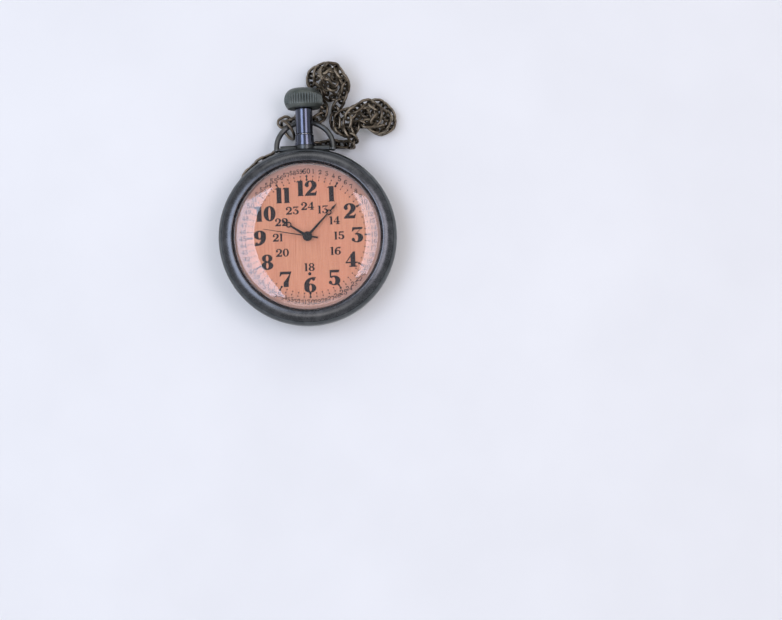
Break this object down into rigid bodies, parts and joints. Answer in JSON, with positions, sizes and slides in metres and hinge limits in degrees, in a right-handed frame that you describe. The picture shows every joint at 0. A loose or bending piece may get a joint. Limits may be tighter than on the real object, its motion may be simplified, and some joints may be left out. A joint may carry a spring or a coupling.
{
  "type": "pocket watch with chain",
  "caption": "Round open-face pocket watch with domed glass, copper-coloured dial with hour and 24-hour rings, fluted crown, bow and a heaped fob chain.",
  "frame": {"origin": "centre of the flat of the case back, on the watch's own axis, where it lies on the table", "axes": "+Z out of the dial, +Y towards 12 o'clock and the crown, +X towards 3 o'clock"},
  "size_m": [0.0491, 0.0722, 0.014],
  "materials": {
    "case_metal": "dark gunmetal, satin",
    "bezel_metal": "dark polished",
    "crown_metal": "dark matte gunmetal",
    "neck_metal": "blue-black polished",
    "bow_metal": "dark gunmetal, satin",
    "glass": "clear, polished",
    "gasket": "black",
    "dial_face": "brushed salmon copper, printed",
    "dial_brass": "satin",
    "hand_black": "black, satin",
    "steel": "bright satin",
    "inner_brass": "bright",
    "holder": "white moulded",
    "movement_plastic": "black moulded",
    "wheel_plastic": "natural moulded",
    "board": "green board",
    "copper": "copper wire",
    "magnet": "sintered",
    "chain_bronze": "antique bronze, worn"
  },
  "bodies": {
    "case": {"case_middle": "case_metal", "back_cover": "case_metal", "back_gasket": "gasket", "bezel": "bezel_metal", "crystal": "glass", "crystal_gasket": "gasket", "dial": "dial_face", "dial_feet": "dial_brass", "pendant_tube": "steel", "pendant_collar": "neck_metal", "pendant_sleeve": "neck_metal", "movement_holder": "holder", "main_plate": "inner_brass", "train_bridge": "inner_brass", "bridge_screws": "steel", "battery": "steel", "battery_clip": "steel", "circuit_board": "board", "integrated_circuit": "movement_plastic", "quartz_can": "steel", "coil": "copper", "coil_core": "steel", "stator": "steel", "yoke": "steel", "jump_ring": "chain_bronze", "chain_from_bow": "chain_bronze", "chain_heap_by_crown": "chain_bronze", "chain_heap_to_right": "chain_bronze", "chain_along_case": "chain_bronze", "chain_end_ring": "chain_bronze", "clasp_body": "chain_bronze", "clasp_lever": "chain_bronze"},
    "bow": {"bow": "bow_metal"},
    "clutch": {"sliding_pinion": "steel"},
    "crown": {"crown": "crown_metal", "crown_washer": "gasket", "stem": "steel", "stem_extension": "steel"},
    "setting_lever": {"setting_lever": "steel"},
    "rotor": {"rotor": "magnet"},
    "intermediate": {"intermediate_wheel": "wheel_plastic"},
    "seconds": {"seconds_wheel": "inner_brass", "second_hand": "hand_black", "second_hand_boss": "hand_black"},
    "third": {"third_wheel": "wheel_plastic"},
    "centre": {"centre_wheel": "inner_brass", "minute_hand": "hand_black"},
    "minute_work": {"minute_wheel": "wheel_plastic"},
    "hour": {"hour_wheel": "inner_brass", "hour_hand": "hand_black"},
    "setting_wheel": {"setting_wheel": "steel"}
  },
  "joints": [
    {"name": "bow_hinge", "type": "hinge", "parent": "case", "child": "bow", "pos_m": [0, 0.0239, 0.007], "axis": [1, 0, 0], "range_deg": [-12, 0]},
    {"name": "crown_spin", "type": "hinge", "parent": "case", "child": "clutch", "pos_m": [0, 0.02, 0.007], "axis": [0, 1, 0], "continuous": true},
    {"name": "crown_pull", "type": "slide", "parent": "clutch", "child": "crown", "axis": [0, 1, 0], "range_m": [0, 0.0012]},
    {"name": "setting_lever_turn", "type": "hinge", "parent": "case", "child": "setting_lever", "pos_m": [0.00275, 0.0056, 0.0078], "axis": [0, 0, 1], "range_deg": [-30, 0]},
    {"name": "seconds_turn", "type": "hinge", "parent": "case", "child": "seconds", "pos_m": [0, 0, 0.007], "axis": [0, 0, -1], "continuous": true},
    {"name": "third_turn", "type": "hinge", "parent": "case", "child": "third", "pos_m": [-0.00197, -0.00234, 0.0065], "axis": [0, 0, -1], "continuous": true},
    {"name": "intermediate_turn", "type": "hinge", "parent": "case", "child": "intermediate", "pos_m": [0.00256, -0.00179, 0.0065], "axis": [0, 0, -1], "continuous": true},
    {"name": "rotor_turn", "type": "hinge", "parent": "case", "child": "rotor", "pos_m": [0.00169, -0.00416, 0.0065], "axis": [0, 0, -1], "continuous": true},
    {"name": "minute_hand_turn", "type": "hinge", "parent": "case", "child": "centre", "pos_m": [0, 0, 0.007], "axis": [0, 0, -1], "continuous": true},
    {"name": "minute_wheel_turn", "type": "hinge", "parent": "case", "child": "minute_work", "pos_m": [0.00236, 0.00042, 0.0079], "axis": [0, 0, -1], "continuous": true},
    {"name": "hour_hand_turn", "type": "hinge", "parent": "case", "child": "hour", "pos_m": [0, 0, 0.0082], "axis": [0, 0, -1], "continuous": true},
    {"name": "setting_wheel_turn", "type": "hinge", "parent": "case", "child": "setting_wheel", "pos_m": [0.00003, 0.00177, 0.0079], "axis": [0, 0, -1], "continuous": true}
  ],
  "couplings": [
    {"joint": "setting_lever_turn", "follows": "crown_pull", "rad_per_m": -429},
    {"joint": "third_turn", "follows": "seconds_turn", "ratio": -0.13333},
    {"joint": "minute_hand_turn", "follows": "seconds_turn", "ratio": 0.016667},
    {"joint": "minute_wheel_turn", "follows": "seconds_turn", "ratio": -0.0055556},
    {"joint": "hour_hand_turn", "follows": "seconds_turn", "ratio": 0.0013889},
    {"joint": "setting_wheel_turn", "follows": "seconds_turn", "ratio": 0.011111},
    {"joint": "intermediate_turn", "follows": "seconds_turn", "ratio": -5},
    {"joint": "rotor_turn", "follows": "seconds_turn", "ratio": 30}
  ]
}
